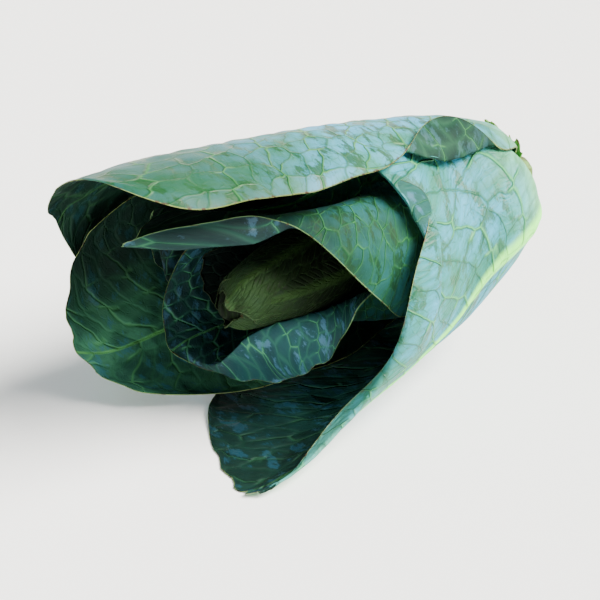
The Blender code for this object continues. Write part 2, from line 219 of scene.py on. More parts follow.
def blade(leaf, u, v, lift):
    """Points of the blade's middle: smooth weights along u times smooth weights across v, times the
    net; the lift is added to the radius before the head coordinates are turned to millimetres."""
    along, across = smooth_weights(leaf["rows"], u.ravel()), smooth_weights(leaf["columns"], v.ravel())
    points = np.einsum("pr,pc,rcd->pd", along, across, leaf["net"], optimize=True).reshape(u.shape + (3,))
    points[..., 2] += lift
    points = place(points)
    points[..., 2] = np.maximum(points[..., 2], FLOOR)
    return points


def blade_normal(leaf, u, v, lift, step=1e-3):
    """Unit normal of the blade: the cross product of its two small steps, along u and across v."""
    along = blade(leaf, np.clip(u + step, 0, 1), v, lift) - blade(leaf, np.clip(u - step, 0, 1), v, lift)
    across = blade(leaf, u, np.clip(v + step, 0, 1), lift) - blade(leaf, u, np.clip(v - step, 0, 1), lift)
    normal = np.cross(along, across)
    return normal / (np.linalg.norm(normal, axis=-1, keepdims=True) + 1e-9)


# %% [markdown]
# ## Smooth noise for living shapes
# Nothing on a leaf repeats exactly. A sum of a few sine waves with fixed, unrelated directions wanders
# without ever repeating, needs no table and is the same in each run.

# %% Wandering value


def wander(x, y, seed, octaves=3):
    """Sum of sines of growing pitch and falling height, each along its own direction; about -1 to 1."""
    draw = np.random.default_rng(seed)
    total, height = 0.0, 1.0
    for octave in range(octaves):
        for _ in range(3):
            turn, phase = draw.uniform(0, 2 * np.pi, 2)
            pitch = 2.0**octave * draw.uniform(0.8, 1.25)
            total = total + height * np.sin(pitch * (x * np.cos(turn) + y * np.sin(turn)) + phase)
        height *= 0.5
    return total / 3.6


# %% [markdown]
# ## Veins
# A cabbage leaf has one thick midrib. Side veins leave it in turn on either side, lean towards the tip
# and grow thinner. Between them lies a net of finer veins. On the outer face the veins stand out; on
# the inner face they lie in shallow furrows and the blade bulges between them.
# The midrib and the side veins are worked out here as smooth fields, so the same numbers raise the
# mesh and draw the line in the material. The finer net is drawn by the material.

# %% Vein fields


def vein_fields(across, along, reach, spacing, lean, seed, fan=3.0, back=0.0):
    """Side veins as a field whose whole numbers are veins.

    Vein n starts at n times the spacing along the midrib and moves tipwards by lean times its distance
    from the midrib, so its number is (along - lean x distance + wander) / spacing. Near the foot the
    lean grows by the factor 1 + fan, which lets the lowest veins fan out from the foot; a leaf whose
    low veins bend back towards the foot gets back instead, in mm. The two sides are half a number
    apart, because side veins leave the midrib in turn.
    """
    side = np.where(across < 0, 0.0, 0.5)
    distance = np.abs(across)
    lean = lean * (1 + fan * np.exp(-along / 60))
    drift = 3.2 * wander(across / 34, along / 34, seed) + 0.6 * wander(across / 14, along / 14, seed + 50, 2)
    bend = back * np.exp(-along / 90) * (1 - np.exp(-distance / 40))
    number = (along + bend - lean * distance * (1 - 0.0014 * distance) + drift) / spacing + side
    pitch = spacing / np.hypot(1, lean)
    nearest = np.abs(number - np.round(number)) * pitch
    slim = np.clip(1.05 - reach, 0.15, 1)
    return number, nearest, slim


# %% [markdown]
# ## A leaf with thickness
# The inner and the outer face are the blade moved half a thickness either way, with the veins and the
# bulges of the blade added, and a rounded rim closes them. A Solidify modifier could give the
# thickness, but not a rib on one face and a furrow on the other.

# %% What each leaf has of its own
WAVES = {  # waves along the margin, depth of the nicks (share), ruffle (mm), phase: as in the CAD leaves
    "top_leaf": (8.0, 0.007, 1.3, 0.4), "right_leaf": (8.5, 0.007, 1.2, 1.9),
    "left_leaf": (7.0, 0.011, 1.4, 0.9), "hood_leaf": (8.0, 0.005, 0.9, 2.6),
    "cradle_leaf": (7.5, 0.008, 0.9, 0.2), "inner_leaf": (5.0, 0.006, 0.6, 1.2),
}
# rows, columns, spacing of the side veins (mm), their lean, rib height and half width at the foot (mm),
# bulge of the blade between veins (mm), seed
FINE = {
    "top_leaf": (236, 196, 33, 0.50, 3.2, 6.0, 0.85, 11),
    "right_leaf": (236, 196, 25, 1.10, 3.4, 8.0, 0.75, 23),
    "left_leaf": (216, 186, 27, 0.85, 2.6, 6.0, 0.80, 37),
    "hood_leaf": (200, 172, 24, 0.60, 1.8, 4.5, 0.60, 41),
    "cradle_leaf": (188, 172, 20, 0.70, 1.8, 4.0, 0.75, 53),
    "inner_leaf": (110, 80, 18, 0.70, 1.5, 3.5, 0.50, 67),
}
BENT_BACK = {"right_leaf": (-0.8, 75.0)}  # fan and back of its side veins
TORN_TIP = {"top_leaf": 0.055}  # share of the length that is torn off beside the tip


def ramp_up(value, start, width):
    """A straight rise from 0 at the start to 1 after the width."""
    return np.clip((value - start) / width, 0, 1)


SHADE_AND_TONE = {  # painted shade where a leaf lies under another one or deep in the head, and a greener tone towards the right leaf's outer tip; from its length along the midrib and across it, in mm
    "hood_leaf": lambda along, across: ramp_up(along, 138, 30) * np.clip((across + 75) / 35, 0.65, 1),
    "right_leaf": lambda along, across: 0.75 * ramp_up(along, 165, 50),
    "top_leaf": lambda along, across: 0.85 * ramp_up(along, 155, 85),
    "left_leaf": lambda along, across: np.maximum(ramp_up(-across, 5, 45), 0.75 * ramp_up(-along, -185, 60)),
    "cradle_leaf": lambda along, across: 0.5 * ramp_up(across, -42, 15),
    "inner_leaf": lambda along, across: 0.8 + 0 * along,
}
RIB_SHIFT = {  # mm that the midrib's line bends towards the near margin, from its length along
    "right_leaf": lambda along: 7 * np.exp(-(((along - 65) / 40) ** 2)) + 6 * ramp_up(along, 110, 50),
}

# %% [markdown]
# The margin is drawn in towards the midrib by the long waves of the CAD leaf, and by small scallops on
# top of them that the CAD leaf is too coarse for. Where a tip is torn, the blade just ends sooner.

# %% The margin


def trimmed_grid(name):
    """Grid of u and v for a leaf, u pulled back and v drawn in at the margin, and the ruffle's lift.

    v moves towards the midrib by nick x (1 - cos(waves)) and a wandering scallop, both growing with the
    fourth power of the way to the margin; u shrinks likewise near the tip.
    """
    rows, columns, *_, seed = FINE[name]
    waves, nick, ruffle, phase = WAVES[name]
    middle = LEAVES[name]["midrib"]
    u, v = shares(rows, columns)
    ramp = ramp_up(u, 0.25, 0.35)
    edge = np.abs(2 * v - 1) ** 4
    turn = 2 * np.pi * waves * u + phase + 5 * np.round(v)
    scallop = 0.0022 * ramp * edge * (1 + wander(u * 95, np.round(v) * 9, seed))
    v = middle + (v - middle) * (1 - nick * ramp * edge * (1 - np.cos(turn)) - scallop)
    pulled = u * (1 - 0.6 * nick * u**6 * (1 - np.cos(10 * np.pi * v + phase)))
    pulled = pulled * (1 - 0.0025 * u**8 * (1 + wander(v * 60, u, seed + 1)))
    pulled = pulled * (1 - TORN_TIP.get(name, 0.0) * u**12 / (1 + np.exp((0.52 - v) / 0.03)))
    lift = ruffle * ramp * edge * np.sin(turn * 0.5 + 1) + 0.5 * ruffle * u**8 * np.sin(9 * v + phase)
    return u, v, pulled, lift


def running_length(points, axis):
    """Length walked along one axis of a grid of points, from its first line."""
    step = np.linalg.norm(np.diff(points, axis=axis), axis=-1)
    pad = [(1, 0), (0, 0)] if axis == 0 else [(0, 0), (1, 0)]
    return np.cumsum(np.pad(step, pad), axis=axis)


def facing(leaf, normal, u, v):
    """1 if the normal at the middle of the midrib points away from the head's axis, else -1."""
    probe = leaf["net"].shape[0] // 2
    key = leaf["net"][probe, leaf["columns"].index(leaf["midrib"])]
    away = place(key) - place(key * np.array([1, 1, 0.5]))
    row_at = np.abs(u[:, 0] - leaf["rows"][probe]).argmin()
    column_at = np.abs(v[row_at] - leaf["midrib"]).argmin()
    return 1.0 if normal[row_at, column_at] @ away > 0 else -1.0


# %% [markdown]
# The relief is the sum of bell-shaped ridges on the veins and of soft swellings between them. It is
# real geometry, so the veins show in the outline and in the mesh, not only in the shading.

# %% Build one leaf


def leaf_surface(name):
    """Inner and outer face of a leaf, with the fields that its materials read.

    Each face is the blade plus its normal times half the thickness, the ridges and the swelling. A
    ridge is exp(-(distance / width)^2); the swelling is a half sine from one side vein to the next.
    """
    leaf = LEAVES[name]
    rows, columns, spacing, lean, rib, rib_half, bulge, seed = FINE[name]
    u, v, pulled, lift = trimmed_grid(name)
    bare = blade(leaf, pulled, v, lift)
    # millimetres across from the midrib, along from the foot, and in from the margin
    middle = leaf["midrib"]
    walked, own_length = running_length(bare, 1), running_length(bare, 0)
    along = own_length[:, round(middle * (columns - 1))][:, None] + 0 * v
    at_rib = np.array([np.interp(middle, v[i], walked[i]) for i in range(rows)])[:, None]
    at_rib = at_rib - RIB_SHIFT.get(name, lambda length: 0 * length)(along[:, :1])
    across = walked - at_rib
    inset = np.minimum(np.minimum(walked, walked[:, -1:] - walked), own_length[-1:] - own_length)
    reach = np.clip(np.abs(across) / np.where(across < 0, at_rib, walked[:, -1:] - at_rib), 0, 1)
    number, nearest, slim = vein_fields(across, along, reach, spacing, lean, seed, *BENT_BACK.get(name, ()))
    # relief: midrib, side veins and bulges, all fading at the foot and the margin
    fade = np.clip(inset / 9, 0, 1) * np.clip(along / 25, 0, 1)
    ahead = np.clip(1 - pulled, 0, 1)
    rib_width = rib_half * (0.22 + 0.78 * ahead**1.7)
    midrib = rib * ahead**1.2 * np.exp(-(across / rib_width) ** 2)
    side_rib = 0.55 * slim * fade * np.exp(-(nearest / (1.5 + 1.6 * slim)) ** 2)
    between = np.sin(np.pi * np.clip(nearest / spacing * 2, 0, 1)) ** 0.8
    cells = wander(across / 5.2, along / 5.2, seed + 2, 2)
    waves = wander(across / 17, along / 17, seed + 3, 2)
    swell = fade * bulge * (between * (0.9 + 0.8 * cells) + 0.8 * waves)
    normal = blade_normal(leaf, pulled, v, lift)
    outward = facing(leaf, normal, u, v)
    normal = normal * outward
    # the blade is thick at its foot and round the midrib, thin at its rim
    thick = 0.75 + 0.9 * ahead**2 + 0.5 * np.exp(-(across / 30) ** 2) * ahead
    thick = thick * (0.55 + 0.45 * np.clip(inset / 5, 0, 1))
    inner = bare + normal * (swell - thick / 2 - 0.35 * side_rib - 0.15 * midrib)[..., None]
    outer = bare + normal * (swell * 0.85 + thick / 2 + side_rib + midrib)[..., None]
    inner[..., 2] = np.maximum(inner[..., 2], INNER_FLOOR)
    outer[..., 2] = np.maximum(outer[..., 2], OUTER_FLOOR)
    # the last field is painted shade where the leaf lies in the head's shade; on the right leaf's outer face
    # it is a greener tone
    fields = dict(number=number, slim=slim, inset=inset, rib=across / rib_width, foot=along,
                  shade_and_tone=SHADE_AND_TONE[name](along, across))
    return inner, outer, fields, across, along, outward > 0


# %% [markdown]
# Both faces and the rim become one closed mesh of four-sided faces. The first material slot is the
# inner face and the second the outer one; the rim is shared between them at its middle line.
# Arrays make a mesh of some hundred thousand faces at once; editing operators would be slow.

# %% Put arrays into a mesh


def make_object(name, points, faces, slots, slot_of_face, fields, flat_map=None):
    """One object from arrays: points in mm, faces as rows of four point numbers, fields as point
    attributes, and flat_map as the UV map named blade, in millimetres."""
    mesh = bpy.data.meshes.new(name)
    mesh.vertices.add(len(points))
    mesh.vertices.foreach_set("co", (points * MM).astype(np.float32).ravel())
    mesh.loops.add(faces.size)
    mesh.loops.foreach_set("vertex_index", faces.astype(np.int32).ravel())
    mesh.polygons.add(len(faces))
    mesh.polygons.foreach_set("loop_start", np.arange(0, faces.size, 4, dtype=np.int32))
    mesh.polygons.foreach_set("material_index", slot_of_face.astype(np.int32))
    mesh.polygons.foreach_set("use_smooth", np.ones(len(faces), bool))
    for key, values in fields.items():
        layer = mesh.attributes.new(key, "FLOAT", "POINT")
        layer.data.foreach_set("value", values.astype(np.float32).ravel())
    if flat_map is not None:
        layer = mesh.uv_layers.new(name="blade")
        layer.data.foreach_set("uv", flat_map[faces.ravel()].astype(np.float32).ravel())
    for slot in slots:
        mesh.materials.append(slot)
    mesh.update(calc_edges=True)
    mesh.validate()
    thing = bpy.data.objects.new(name, mesh)
    bpy.context.scene.collection.objects.link(thing)
    return thing


def grid_faces(rows, columns):
    """Four-sided faces of a grid whose points are numbered row by row."""
    index = np.arange(rows * columns).reshape(rows, columns)
    return np.stack([index[:-1, :-1], index[1:, :-1], index[1:, 1:], index[:-1, 1:]], -1).reshape(-1, 4)


def ring_faces(rings, sides):
    """Four-sided faces between closed rings whose points are numbered ring by ring."""
    index = np.arange(rings * sides).reshape(rings, sides)
    after = np.roll(index, -1, 1)
    return np.stack([index[:-1], index[1:], after[1:], after[:-1]], -1).reshape(-1, 4)


def close_sheet(inner, outer):
    """Points, faces, slot numbers and rim loop of a leaf: its two grids, and a rounded rim whose middle
    line stands out from both margins by half the thickness there."""
    rows, columns = inner.shape[:2]
    grid = np.arange(rows * columns).reshape(rows, columns)
    count = grid.size
    loop = np.concatenate([grid[:-1, 0], grid[-1, :-1], grid[:0:-1, -1], grid[0, :0:-1]])
    inward = np.concatenate([grid[:-1, 1], grid[-2, 1:2], grid[-2, 1:-1], grid[-2, -2:-1],
                             grid[-2:0:-1, -2], grid[1, -2:-1], grid[1, -2:0:-1]])
    flat_in, flat_out = inner.reshape(-1, 3), outer.reshape(-1, 3)
    centre = (flat_in[loop] + flat_out[loop]) / 2
    push = centre - (flat_in[inward] + flat_out[inward]) / 2
    push /= np.linalg.norm(push, axis=-1, keepdims=True) + 1e-9
    rim = centre + push * np.linalg.norm(flat_out[loop] - flat_in[loop], axis=-1, keepdims=True) / 2
    rim[:, 2] = np.maximum(rim[:, 2], RIM_FLOOR)
    after = np.roll(np.arange(len(loop)), -1)
    middle_line = 2 * count + np.arange(len(loop))
    strip_in = np.stack([loop, loop[after], middle_line[after], middle_line], -1)
    strip_out = np.stack([middle_line, middle_line[after], loop[after] + count, loop + count], -1)
    sheet = grid_faces(rows, columns)
    faces = np.concatenate([sheet[:, ::-1], sheet + count, strip_in[:, ::-1], strip_out[:, ::-1]])
    slots = np.repeat([0, 1, 0, 1], [len(sheet), len(sheet), len(loop), len(loop)])
    return np.concatenate([flat_in, flat_out, rim]), faces, slots, loop


def dress(thing, node_name):
    """Lets a finished piece ride on the head in the place of a CAD node, and hides that node."""
    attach(thing, "root")
    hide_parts(node_name)
    print(f"{thing.name}: {sum(len(face.vertices) - 2 for face in thing.data.polygons)} triangles")


def make_leaf(name, node_name, inner, outer, fields, across, along, straight, skins):
    """A leaf as one object: fields and flat map are read on both faces and on the rim. Where the blade
    runs the other way round, not straight, its faces are turned over so that they look outwards."""
    points, faces, slots, loop = close_sheet(inner, outer)
    if not straight:
        faces = faces[:, ::-1]
    full = {key: np.concatenate([value.ravel(), value.ravel(), value.ravel()[loop]])
            for key, value in fields.items()}
    flat_map = np.stack([across.ravel(), along.ravel()], -1)
    flat_map = np.concatenate([flat_map, flat_map, flat_map[loop]])
    dress(make_object(name, points, faces, skins, slots, full, flat_map), node_name)


# %% [markdown]
# ## Colours and nodes
# Colours are read off as the sRGB hex values that a paint program shows, and one function turns them
# into the linear values that Blender reckons with. One small function adds a node, sets what is given
# as a value and links what is given as a socket.

# %% Colour and node helpers


def linear(code):
    """sRGB hex to linear: a channel c is c / 12.92 if small, else ((c + 0.055) / 1.055) to the 2.4."""
    channels = np.array([int(code[i:i + 2], 16) for i in (1, 3, 5)]) / 255
    return (*np.where(channels <= 0.04045, channels / 12.92, ((channels + 0.055) / 1.055) ** 2.4), 1.0)


def bare_material(name):
    """A new material with an empty node tree."""
    material = bpy.data.materials.new(name)
    material.use_nodes = True
    material.node_tree.nodes.clear()
    return material, material.node_tree


def put(tree, kind, inputs=None, **settings):
    """Adds one node; settings are its own properties, inputs its sockets by name or number."""
    made = tree.nodes.new(kind)
    for key, value in settings.items():
        setattr(made, key, value)
    for key, value in (inputs or {}).items():
        if isinstance(value, bpy.types.NodeSocket):
            tree.links.new(value, made.inputs[key])
        else:
            made.inputs[key].default_value = value
    return made.outputs[0] if len(made.outputs) else made


# %% [markdown]
# ## Skins of the leaves
# The outer face of a cabbage leaf carries a bloom: wax crystals far too small to see that scatter
# light, so the face looks pale and bluish, and greener where fingers or other leaves rubbed it off. The
# inner face has little bloom; it is deep blue-green and slightly glossy, and its bluish patches are a
# painted reflection of the sky. Painted shade darkens the faces that lie deep in the head. The fine
# veins show dark green through the wax of an outer face and a little paler on an inner one; the midrib
# is pale on both.
# A painted picture could show one leaf's veins at one size. Here they are drawn from the leaf's own
# fields and from a flat map in millimetres, so they follow the blade and nothing stretches.
#
# The finer veins of a real leaf close in a net of cells some 10 to 20 mm wide. Voronoi cells have such
# walls. Plain ones would ignore the side veins, so the cells are laid in rows between them.

# %% Masks of the veins
NET_CELL = 15.0  # mm, the cell that the widths of the net's lines are given for
FIELDS = ("number", "slim", "inset", "rib", "foot", "shade_and_tone")
NOISES = {  # scale, detail and roughness; the map is in mm, so the size in mm is 1 / scale
    "slow": (0.05, 2.0, 0.5),  # 20 mm, bends the rows of the net
    "broken": (0.12, 2.0, 0.5),  # 8 mm, breaks up the finest veins, which end blind
    "cloud": (0.030, 5.0, 0.62),  # 33 mm, uneven wax
    "speck": (0.35, 3.0, 0.5),  # 3 mm, brown specks of a dried rim
    "grain": (0.9, 4.0, 0.5),  # 1 mm, the skin's own grain
}


def vein_masks(tree, flat, noise, field, spec):
    """Masks of the veins, 1 on a vein and 0 beside it.

    A cell's first coordinate is twice the vein number, so every second row of walls follows a side vein
    in zigzag; its second one is the way across, over the size of a cell. A slow noise bends both.
    Blender's cell points lie in the lower part of their square, hence the shift by loose / 2 - 0.5.
    """
    loose, bend = spec["loose"], spec["bend"]
    across = put(tree, "ShaderNodeSeparateXYZ", {0: flat})
    by_vein = put(tree, "ShaderNodeMath", {0: noise["slow"], 1: bend, 2: loose / 2 - 0.5 - bend / 2},
                  operation="MULTIPLY_ADD")
    by_vein = put(tree, "ShaderNodeMath", {0: field["number"], 1: 2.0, 2: by_vein}, operation="MULTIPLY_ADD")
    by_reach = put(tree, "ShaderNodeMath", {0: across, 1: 1 / spec["cell"]}, operation="MULTIPLY")
    by_reach = put(tree, "ShaderNodeMath", {0: noise["slow"], 1: 0.5, 2: by_reach}, operation="MULTIPLY_ADD")
    ordered = put(tree, "ShaderNodeCombineXYZ", {0: by_vein, 1: by_reach})
    far = put(tree, "ShaderNodeMapRange", {0: field["foot"], 1: 25.0, 2: spec["net_from"]})
    cell, small = (put(tree, "ShaderNodeTexVoronoi", {"Vector": ordered, "Scale": scale, "Randomness": stray},
                       voronoi_dimensions="2D", feature="DISTANCE_TO_EDGE")
                   for scale, stray in ((1.0, loose), (2.7, 0.9)))  # the net, and the finest veins in it
    # a side vein is a wall near a whole number, thicker than the net and narrower towards the margin
    away = put(tree, "ShaderNodeMath", {0: field["number"], 1: 0.5}, operation="PINGPONG")
    away = put(tree, "ShaderNodeMapRange", {0: away, 1: 0.13, 2: 0.20, 3: 1.0, 4: 0.0})
    wide = put(tree, "ShaderNodeMath", {0: field["slim"], 1: spec["vein_width"] / NET_CELL, 2: 0.035},
               operation="MULTIPLY_ADD")
    rib_far = put(tree, "ShaderNodeMath", {0: field["rib"]}, operation="ABSOLUTE")
    net, halo, hair, side, midrib, rim = (
        put(tree, "ShaderNodeMapRange", {0: distance, 1: start, 2: end, 3: 1.0, 4: 0.0},
            interpolation_type="SMOOTHSTEP")
        for distance, start, end in (
            (cell, 0.0, spec["net_width"] / NET_CELL), (cell, 0.0, spec["halo"] / NET_CELL),
            (small, 0.0, 0.11), (cell, 0.0, wide), (rib_far, 0.35, spec["rib_width"]),
            (field["inset"], 0.1, spec["rim_width"])))
    broken = put(tree, "ShaderNodeMapRange", {0: noise["broken"], 1: 0.42, 2: 0.56})
    # fine wrinkles of 1 to 2 mm, drawn out along the side veins or, on the right leaf, along the blade
    drawn = put(tree, "ShaderNodeMapping", {"Vector": ordered, "Scale": spec["wrinkle"]})
    streak = put(tree, "ShaderNodeTexNoise", {"Vector": drawn, "Scale": 1.0, "Detail": 3.0},
                 noise_dimensions="2D")
    streak = put(tree, "ShaderNodeMapRange", {0: streak, 1: 0.35, 2: 0.70})
    hair = put(tree, "ShaderNodeMath", {0: hair, 1: broken}, operation="MULTIPLY")
    hair, net, side = (put(tree, "ShaderNodeMath", {0: mask, 1: other}, operation="MULTIPLY")
                       for mask, other in ((hair, far), (net, far), (side, away)))
    return dict(net=net, halo=halo, hair=hair, side=side, midrib=midrib, rim=rim, streak=streak, far=far)


# %% [markdown]
# The ground is two tones in soft clouds, because the wax lies unevenly, with patches of a third, deeper
# tone where it was rubbed off; on an inner face the patches are bluish instead, a painted reflection of
# the sky. Veins that stand out are rubbed first and veins in furrows last, so the patches are torn along
# them. Over the ground lie the wrinkles, the veins and the rim, one layer of colour each, with layers of
# painted shade below and above them, and what the mesh is too coarse for is added as relief.

# %% One skin of a leaf


def ground_masks(tree, flat, noise, field, spec, vein):
    """Masks of clouds, rubbed patches (a painted reflection on inner faces), the foot's tone (painted shade
    on inner faces and the heart) and brown specks along the rim.
    """
    cloud = put(tree, "ShaderNodeMapRange", {0: noise["cloud"], 1: 0.38, 2: 0.62})
    # patches of 20 by 10 mm, slanting across the blade, none close to the foot: rubbed wax on an outer face,
    # a painted reflection on an inner one
    drawn = put(tree, "ShaderNodeMapping",
                {"Vector": flat, "Rotation": (0, 0, 0.6), "Scale": (0.05, 0.10, 1)})
    torn = put(tree, "ShaderNodeTexNoise", {"Vector": drawn, "Scale": 1.0, "Detail": 10.0, "Roughness": 0.70},
               noise_dimensions="2D")
    torn = put(tree, "ShaderNodeMath", {0: vein["halo"], 1: spec["halo_tear"], 2: torn},
               operation="MULTIPLY_ADD")
    torn = put(tree, "ShaderNodeMapRange", {0: torn, 1: spec["patch_from"], 2: spec["patch_from"] + 0.06})
    # the foot's tone: paler on an outer face; on an inner face and on the heart it is painted shade, dark
    # deep in the head
    foot = put(tree, "ShaderNodeMapRange", {0: field["foot"], 1: spec["foot_from"], 2: spec["foot_to"],
                                            3: spec["foot_tone_and_shade"], 4: 0.0}, interpolation_type="SMOOTHSTEP")
    speck = put(tree, "ShaderNodeMapRange", {0: noise["speck"], 1: 0.58, 2: 0.64, 4: 0.85})
    near_rim = put(tree, "ShaderNodeMapRange",
                   {0: field["inset"], 1: 0.3, 2: spec["dry_width"], 3: 1.0, 4: 0.0})
    torn, dried = (put(tree, "ShaderNodeMath", {0: mask, 1: other}, operation="MULTIPLY")
                   for mask, other in ((torn, vein["far"]), (speck, near_rim)))
    return dict(cloud=cloud, torn=torn, foot=foot, dried=dried)


def leaf_skin(name, colours, spec):
    """Material of one face of a leaf: layers of colour, each laid on by its mask times its share; a
    relief that is the sum of the masks times their heights; smoother where the wax was rubbed off."""
    material, tree = bare_material(name)
    flat = put(tree, "ShaderNodeUVMap", uv_map="blade")
    field = {key: put(tree, "ShaderNodeAttribute", attribute_name=key).node.outputs["Fac"] for key in FIELDS}
    noise = {key: put(tree, "ShaderNodeTexNoise", {
        "Vector": flat, "Scale": scale, "Detail": detail, "Roughness": roughness}, noise_dimensions="2D")
        for key, (scale, detail, roughness) in NOISES.items()}
    vein = vein_masks(tree, flat, noise, field, spec)
    ground = ground_masks(tree, flat, noise, field, spec, vein)
    colour = linear(colours["ground"])
    # the layers read from the last field are painted shade, laid below, over and on top of the veins; on the
    # right leaf's outer face they give a greener tone
    for mask, layer, most in (  # from the ground up
            (ground["cloud"], "cloud", 1.0), (ground["foot"], "foot", 1.0), (field["shade_and_tone"], "shade_and_tone", 0.8),
            (ground["torn"], "wear_and_glint", spec["wear_and_glint"]), (vein["streak"], "vein", spec["streak_show"]),
            (vein["halo"], "vein", spec["halo_show"]), (vein["hair"], "vein", spec["hair_show"]),
            (vein["net"], "vein", spec["net_show"]), (vein["side"], "side", spec["side_show"]),
            (vein["midrib"], "midrib", spec["rib_show"]), (field["shade_and_tone"], "shade_and_tone", 0.6),
            (vein["rim"], "rim", 0.8), (ground["dried"], "dried", 1.0),
            (field["shade_and_tone"], "shade_and_tone", spec["shade_and_tone_over"])):
        share = put(tree, "ShaderNodeMath", {0: mask, 1: most}, operation="MULTIPLY")
        colour = put(tree, "ShaderNodeMix", {0: share, 6: colour, 7: linear(colours[layer])},
                     data_type="RGBA").node.outputs[2]
    # the skin's own grain, then the veins and wrinkles on top of it
    relief = put(tree, "ShaderNodeMath", {0: noise["grain"], 1: spec["grain"]}, operation="MULTIPLY")
    for mask, height in (("net", 1.0), ("hair", 0.35), ("side", 1.8), ("halo", spec["halo_relief"]),
                         ("streak", spec["streak"])):
        relief = put(tree, "ShaderNodeMath", {0: vein[mask], 1: height * spec["ridge"], 2: relief},
                     operation="MULTIPLY_ADD")
    bump = put(tree, "ShaderNodeBump", {"Height": relief, "Strength": 1.0, "Distance": spec["bump_mm"] * MM})
    rough = put(tree, "ShaderNodeMapRange", {0: ground["torn"], 3: spec["rough"], 4: spec["rubbed_rough"]})
    shader = put(tree, "ShaderNodeBsdfPrincipled", {
        "Base Color": colour, "Roughness": rough, "Normal": bump, "IOR": 1.45,
        "Specular IOR Level": spec["shine"], "Sheen Weight": spec["sheen"], "Sheen Roughness": 0.4,
        "Sheen Tint": linear("#C8E4F4")})
    put(tree, "ShaderNodeOutputMaterial", {"Surface": shader})
    return material


# %% [markdown]
# ## Recipes for the skins
# All skins share one tree and differ in a list of numbers. The net's lines are drawn wider than the
# real ones, which are some 0.3 mm, because at this distance a pixel is about half a millimetre.

# %% Numbers of the skins
OUTER = dict(  # an outer face with its bloom
    cell=15.0, loose=0.62, bend=0.5,  # the net's cells across, in mm; how uneven they are; how rows sway
    net_width=1.1, halo=4.5, vein_width=1.6,  # mm: the net, the soft band along it, the side veins
    rib_width=1.15, rim_width=0.5, dry_width=1.6,  # midrib in its half widths; rim and dried rim in mm
    net_from=80.0, foot_from=12.0, foot_to=60.0,  # mm from the foot: net in full; the foot's tone fades
    patch_from=0.535, wear_and_glint=0.85, halo_tear=0.03,  # level and share of the patches, how veins tear them
    foot_tone_and_shade=0.55, streak_show=0.12, halo_show=0.18, hair_show=0.40, net_show=0.70,  # share of colour
    side_show=0.85, rib_show=0.95, shade_and_tone_over=0.0,
    ridge=1.0, halo_relief=0.6, streak=0.25, grain=0.25, bump_mm=0.20,  # veins stand out; height in mm
    wrinkle=(9.0, 0.9, 1.0),  # wrinkles to a cell, from vein to vein and along the veins
    rough=0.58, rubbed_rough=0.42, shine=0.35, sheen=0.02)
BLOOMED = OUTER | dict(  # thick bloom, wrinkled lengthwise where the leaf folded over the head
    cell=22.0, loose=0.45, bend=0.25, net_from=60.0, patch_from=0.545, wear_and_glint=0.80, halo_show=0.20,
    net_show=0.75, hair_show=0.45, net_width=0.9, vein_width=1.1, dry_width=3.5, streak=0.8,
    streak_show=0.42, side_show=0.90, wrinkle=(1.0, 8.0, 1.0), bump_mm=0.45, foot_to=70.0)
SHADED = OUTER | dict(  # an outer face that another leaf covered, dull and with fainter veins
    vein_width=1.0, net_show=0.50, side_show=0.65, rough=0.72, rubbed_rough=0.60, shine=0.12)
INNER = OUTER | dict(  # an inner face: little bloom, veins in furrows, its foot painted dark as the shade deep in the head
    cell=16.0, net_width=2.2, halo=5.5, net_from=170.0, vein_width=1.4, rib_width=0.9, rim_width=0.4,
    dry_width=1.2, patch_from=0.525, wear_and_glint=0.70, halo_tear=-0.06, streak_show=0.04, halo_show=0.12,
    hair_show=0.06, net_show=0.14, side_show=0.42, rib_show=0.60, ridge=-1.0, shade_and_tone_over=0.7,
    halo_relief=1.0, streak=0.2, grain=0.20, bump_mm=0.18, rough=0.64, rubbed_rough=0.38, shine=0.10,
    sheen=0.0, foot_tone_and_shade=0.92, foot_from=95.0, foot_to=175.0)
TEAL = INNER | dict(bump_mm=0.32, wear_and_glint=0.75, patch_from=0.515, foot_to=150.0)  # bulges more
BLUISH = INNER | dict(  # finer cells on the young leaves round the heart
    cell=9.0, patch_from=0.53, shine=0.14, shade_and_tone_over=0.0, net_from=90.0, net_show=0.30, side_show=0.55)

# %% Skins with bloom
# wax grown on the surface: pale blue, and green where it was rubbed off on the way from the field; deep green
# painted shade where the leaf lies in the head's shade
bloomed = leaf_skin("waxy_bloomed_outer_leaf", dict(
    ground="#4698BC", cloud="#2E7C70", wear_and_glint="#1A4418", foot="#80C070", shade_and_tone="#124020", vein="#1A5428",
    side="#3A8040", midrib="#80E060", rim="#7E8C48", dried="#46281C"), OUTER)
# the right leaf lay outermost and was hardly touched: thick wax, bluer, with a net of dark creases
pale_bloomed = leaf_skin("thickly_bloomed_outer_leaf", dict(
    ground="#2E90AC", cloud="#1C786C", wear_and_glint="#1A502C", foot="#80D074", shade_and_tone="#44897A", vein="#185A3A",
    side="#409C60", midrib="#82F462", rim="#98A060", dried="#5A4030"), BLOOMED)
# leaves round the heart: dull green, painted darker for the shade that the outer leaves cast on them
shade_darkened_bloom = leaf_skin("bloomed_leaf_with_painted_shade", dict(
    ground="#1C5052", cloud="#123C32", wear_and_glint="#0C2C12", foot="#1C4C38", shade_and_tone="#061A12", vein="#205830",
    side="#2E703C", midrib="#44904A", rim="#5E7C4A", dried="#3A2C1C"), SHADED)

# %% Skins of inner faces
# smooth and nearly bare of wax: deep green, with bluish patches painted as the sky's reflection and painted
# shade darkening it towards the foot and under other leaves
inside = leaf_skin("glossy_inner_leaf", dict(
    ground="#3A7056", cloud="#1E4238", wear_and_glint="#2E606C", foot="#051E1A", shade_and_tone="#05130F", vein="#3A7A52",
    side="#4A8A52", midrib="#5CA456", rim="#829A5C", dried="#3A2C1C"), INNER)
